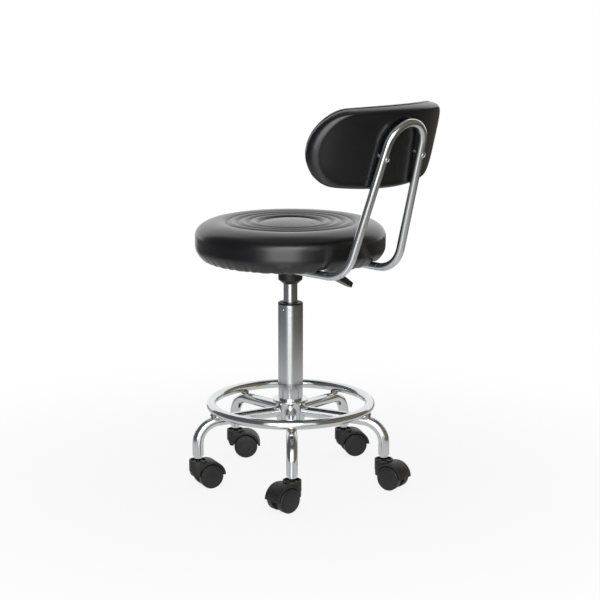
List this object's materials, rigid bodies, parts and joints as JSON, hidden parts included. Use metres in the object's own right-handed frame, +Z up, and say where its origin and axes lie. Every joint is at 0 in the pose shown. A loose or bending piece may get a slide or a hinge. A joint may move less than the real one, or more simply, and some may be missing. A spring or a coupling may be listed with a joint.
{
  "type": "rolling stylist stool",
  "caption": "Rolling stool with a round ribbed seat and bowed backrest, gas lift with release lever, footrest ring and twin-wheel casters on bent chromed legs.",
  "frame": {"origin": "on the floor, on the column's axis", "axes": "+Z up along the column; the sitter faces -Y, so the backrest is at +Y and the lever at -X, on the sitter's right"},
  "size_m": [0.4365, 0.5292, 0.7717],
  "materials": {
    "chrome": "polished plate",
    "zinc_steel": "zinc plate",
    "weld_steel": "welded and plated",
    "black_paint": "satin powder coat",
    "black_plastic": "moulded",
    "rubber_stop": "moulded",
    "plywood": "raw",
    "black_vinyl": "satin upholstery vinyl",
    "dust_cloth": "non-woven",
    "hood_plastic": "fine grain",
    "wheel_plastic": "moulded"
  },
  "bodies": {
    "base": {"base_hub": "chrome", "leg_1": "chrome", "leg_2": "chrome", "leg_3": "chrome", "leg_4": "chrome", "leg_5": "chrome", "footrest_ring": "chrome", "ring_posts": "weld_steel", "leg_sockets": "chrome", "caster_stems": "black_paint", "grip_rings": "zinc_steel", "column_tube": "chrome", "guide_sleeve": "black_plastic", "bearing_washer_lower": "zinc_steel", "thrust_bearing": "zinc_steel"},
    "rod": {"bearing_washer_upper": "zinc_steel", "bumper": "rubber_stop", "piston_rod": "zinc_steel", "piston": "zinc_steel", "retaining_clip": "zinc_steel"},
    "seat": {"gas_cylinder": "chrome", "cylinder_gland": "black_plastic", "seat_plate": "black_paint", "plate_socket": "black_paint", "seat_board": "plywood", "seat_cushion": "black_vinyl", "dust_cover": "dust_cloth", "plate_screws": "zinc_steel", "tube_bolts": "zinc_steel", "tee_nuts": "zinc_steel", "back_tube": "chrome", "tube_plugs": "black_plastic", "back_cushion": "black_vinyl", "back_board": "plywood", "back_cover": "black_vinyl", "back_screws": "zinc_steel", "lever_pin": "zinc_steel"},
    "lever": {"lever_rod": "black_paint", "lever_paddle": "black_plastic"},
    "valve": {"valve_pin": "zinc_steel"},
    "caster_1": {"caster_hood_1": "hood_plastic", "caster_axle_1": "zinc_steel"},
    "wheel_1a": {"caster_wheel_1a": "wheel_plastic"},
    "wheel_1b": {"caster_wheel_1b": "wheel_plastic"},
    "caster_2": {"caster_hood_2": "hood_plastic", "caster_axle_2": "zinc_steel"},
    "wheel_2a": {"caster_wheel_2a": "wheel_plastic"},
    "wheel_2b": {"caster_wheel_2b": "wheel_plastic"},
    "caster_3": {"caster_hood_3": "hood_plastic", "caster_axle_3": "zinc_steel"},
    "wheel_3a": {"caster_wheel_3a": "wheel_plastic"},
    "wheel_3b": {"caster_wheel_3b": "wheel_plastic"},
    "caster_4": {"caster_hood_4": "hood_plastic", "caster_axle_4": "zinc_steel"},
    "wheel_4a": {"caster_wheel_4a": "wheel_plastic"},
    "wheel_4b": {"caster_wheel_4b": "wheel_plastic"},
    "caster_5": {"caster_hood_5": "hood_plastic", "caster_axle_5": "zinc_steel"},
    "wheel_5a": {"caster_wheel_5a": "wheel_plastic"},
    "wheel_5b": {"caster_wheel_5b": "wheel_plastic"}
  },
  "joints": [
    {"name": "seat_swivel", "type": "hinge", "parent": "base", "child": "rod", "pos_m": [0, 0, 0.115], "axis": [0, 0, 1], "continuous": true},
    {"name": "seat_height", "type": "slide", "parent": "rod", "child": "seat", "axis": [0, 0, 1], "range_m": [-0.035, 0.085]},
    {"name": "lever_lift", "type": "hinge", "parent": "seat", "child": "lever", "pos_m": [-0.036, 0, 0.4445], "axis": [0, 1, 0], "range_deg": [0, 4], "stiffness_Nm_per_rad": 3, "springref_deg": -2.86},
    {"name": "valve_push", "type": "slide", "parent": "seat", "child": "valve", "axis": [0, 0, 1], "range_m": [-0.0026, 0]},
    {"name": "caster_1_swivel", "type": "hinge", "parent": "base", "child": "caster_1", "pos_m": [0.13236, 0.14046, 0.05], "axis": [0, 0, 1], "continuous": true},
    {"name": "wheel_1a_roll", "type": "hinge", "parent": "caster_1", "child": "wheel_1a", "pos_m": [0.15381, 0.13896, 0.024], "axis": [0.0698, 0.9976, 0], "continuous": true},
    {"name": "wheel_1b_roll", "type": "hinge", "parent": "caster_1", "child": "wheel_1b", "pos_m": [0.15381, 0.13896, 0.024], "axis": [0.0698, 0.9976, 0], "continuous": true},
    {"name": "caster_2_swivel", "type": "hinge", "parent": "base", "child": "caster_2", "pos_m": [-0.09268, 0.16929, 0.05], "axis": [0, 0, 1], "continuous": true},
    {"name": "wheel_2a_roll", "type": "hinge", "parent": "caster_2", "child": "wheel_2a", "pos_m": [-0.09679, 0.19039, 0.024], "axis": [-0.9816, -0.1908, 0], "continuous": true},
    {"name": "wheel_2b_roll", "type": "hinge", "parent": "caster_2", "child": "wheel_2b", "pos_m": [-0.09679, 0.19039, 0.024], "axis": [-0.9816, -0.1908, 0], "continuous": true},
    {"name": "caster_3_swivel", "type": "hinge", "parent": "base", "child": "caster_3", "pos_m": [-0.18964, -0.03583, 0.05], "axis": [0, 0, 1], "continuous": true},
    {"name": "wheel_3a_roll", "type": "hinge", "parent": "caster_3", "child": "wheel_3a", "pos_m": [-0.20826, -0.02508, 0.024], "axis": [-0.5, -0.866, 0], "continuous": true},
    {"name": "wheel_3b_roll", "type": "hinge", "parent": "caster_3", "child": "wheel_3b", "pos_m": [-0.20826, -0.02508, 0.024], "axis": [-0.5, -0.866, 0], "continuous": true},
    {"name": "caster_4_swivel", "type": "hinge", "parent": "base", "child": "caster_4", "pos_m": [-0.02452, -0.19144, 0.05], "axis": [0, 0, 1], "continuous": true},
    {"name": "wheel_4a_roll", "type": "hinge", "parent": "caster_4", "child": "wheel_4a", "pos_m": [-0.04025, -0.17677, 0.024], "axis": [-0.682, -0.7314, 0], "continuous": true},
    {"name": "wheel_4b_roll", "type": "hinge", "parent": "caster_4", "child": "wheel_4b", "pos_m": [-0.04025, -0.17677, 0.024], "axis": [-0.682, -0.7314, 0], "continuous": true},
    {"name": "caster_5_swivel", "type": "hinge", "parent": "base", "child": "caster_5", "pos_m": [0.17449, -0.08248, 0.05], "axis": [0, 0, 1], "continuous": true},
    {"name": "wheel_5a_roll", "type": "hinge", "parent": "caster_5", "child": "wheel_5a", "pos_m": [0.15404, -0.07584, 0.024], "axis": [-0.309, -0.9511, 0], "continuous": true},
    {"name": "wheel_5b_roll", "type": "hinge", "parent": "caster_5", "child": "wheel_5b", "pos_m": [0.15404, -0.07584, 0.024], "axis": [-0.309, -0.9511, 0], "continuous": true}
  ],
  "couplings": [
    {"joint": "valve_push", "follows": "lever_lift", "m_per_rad": -0.036}
  ]
}
